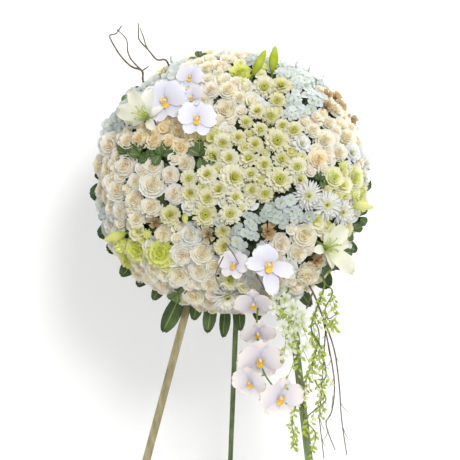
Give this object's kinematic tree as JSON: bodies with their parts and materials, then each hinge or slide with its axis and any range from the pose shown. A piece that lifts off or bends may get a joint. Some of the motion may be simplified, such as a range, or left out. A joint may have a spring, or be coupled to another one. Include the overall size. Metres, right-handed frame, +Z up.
{
  "type": "funeral wreath on an easel",
  "caption": "Domed round funeral wreath of mixed white, cream, green and peach flowers with hanging sprays, on a wooden tripod easel with a folding rear leg.",
  "frame": {"origin": "on the floor under the middle of the whole object", "axes": "+Z up, the flowers face -Y, +X is to the right seen from in front"},
  "size_m": [0.726, 0.5984, 1.4512],
  "materials": {
    "ivory_rose_petals": "soft matt fresh petals",
    "lime_petals": "soft matt fresh petals",
    "peach_petals": "soft ruffled petals",
    "cream_mum_petals": "fine narrow petals with a green middle",
    "blue_white_florets": "thin cool white florets",
    "dried_blooms": "dry papery petals",
    "orchid_petals": "waxy white petals with a yellow lip",
    "lily_petals": "white tepals with a green throat",
    "lily_buds": "smooth pale green buds",
    "leaf": "slightly waxy leaves",
    "lime_buds": "small fresh green buds",
    "twig_bark": "thin dry bark",
    "floral_foam": "open-cell wet foam",
    "backing_board": "raw hardboard",
    "tan_wood": "sawn lath with a thin stain",
    "olive_wood": "lath with an olive green stain",
    "zinc_steel": "zinc plated"
  },
  "bodies": {
    "wreath_and_front_legs": {"backing_board": "backing_board", "board_screw_lower": "zinc_steel", "board_screw_top": "zinc_steel", "collar_bottom": "leaf", "collar_left": "leaf", "collar_right": "leaf", "collar_top": "leaf", "dendrobium_spray": "blue_white_florets", "dried_centre": "dried_blooms", "dried_left": "dried_blooms", "dried_lower": "dried_blooms", "dried_lower_right": "dried_blooms", "dried_right_top": "dried_blooms", "floral_foam": "floral_foam", "florets_upper_left": "blue_white_florets", "front_leg_left": "tan_wood", "front_leg_right": "olive_wood", "header_rail": "tan_wood", "header_rail_screw_left": "zinc_steel", "header_rail_screw_right": "zinc_steel", "hinge_bolt": "zinc_steel", "hinge_cheek_left": "tan_wood", "hinge_cheek_right": "tan_wood", "hinge_nut": "zinc_steel", "hydrangea_lower": "blue_white_florets", "hydrangea_top": "blue_white_florets", "leaves_right": "leaf", "lily_bud_left": "lily_buds", "lily_bud_right": "lily_buds", "lily_bud_top_left": "lily_buds", "lily_bud_top_right": "lily_buds", "lily_left": "lily_petals", "lily_right": "lily_petals", "lime_mums_left": "lime_petals", "lime_roses_right": "lime_petals", "lime_spray": "lime_buds", "lower_rail": "tan_wood", "lower_rail_screw_left": "zinc_steel", "lower_rail_screw_right": "zinc_steel", "mums_bottom": "cream_mum_petals", "mums_centre": "cream_mum_petals", "mums_right": "cream_mum_petals", "mums_upper_right": "cream_mum_petals", "orchid_bottom": "orchid_petals", "orchid_cascade": "orchid_petals", "orchid_left": "orchid_petals", "orchid_lower": "orchid_petals", "orchid_top": "orchid_petals", "orchid_upper": "orchid_petals", "peach_carnations": "peach_petals", "roses_bottom": "ivory_rose_petals", "roses_left": "ivory_rose_petals", "roses_lower_right": "ivory_rose_petals", "roses_right": "ivory_rose_petals", "roses_top": "ivory_rose_petals", "trailing_twigs": "twig_bark", "white_stock_left": "blue_white_florets", "willow_twigs_left": "twig_bark", "willow_twigs_right": "twig_bark"},
    "folding_rear_leg": {"rear_leg": "olive_wood"}
  },
  "joints": [
    {"name": "rear_leg_fold", "type": "hinge", "parent": "wreath_and_front_legs", "child": "folding_rear_leg", "pos_m": [0.04879, -0.03108, 1.13], "axis": [1, 0, 0], "range_deg": [-27, 0]}
  ]
}
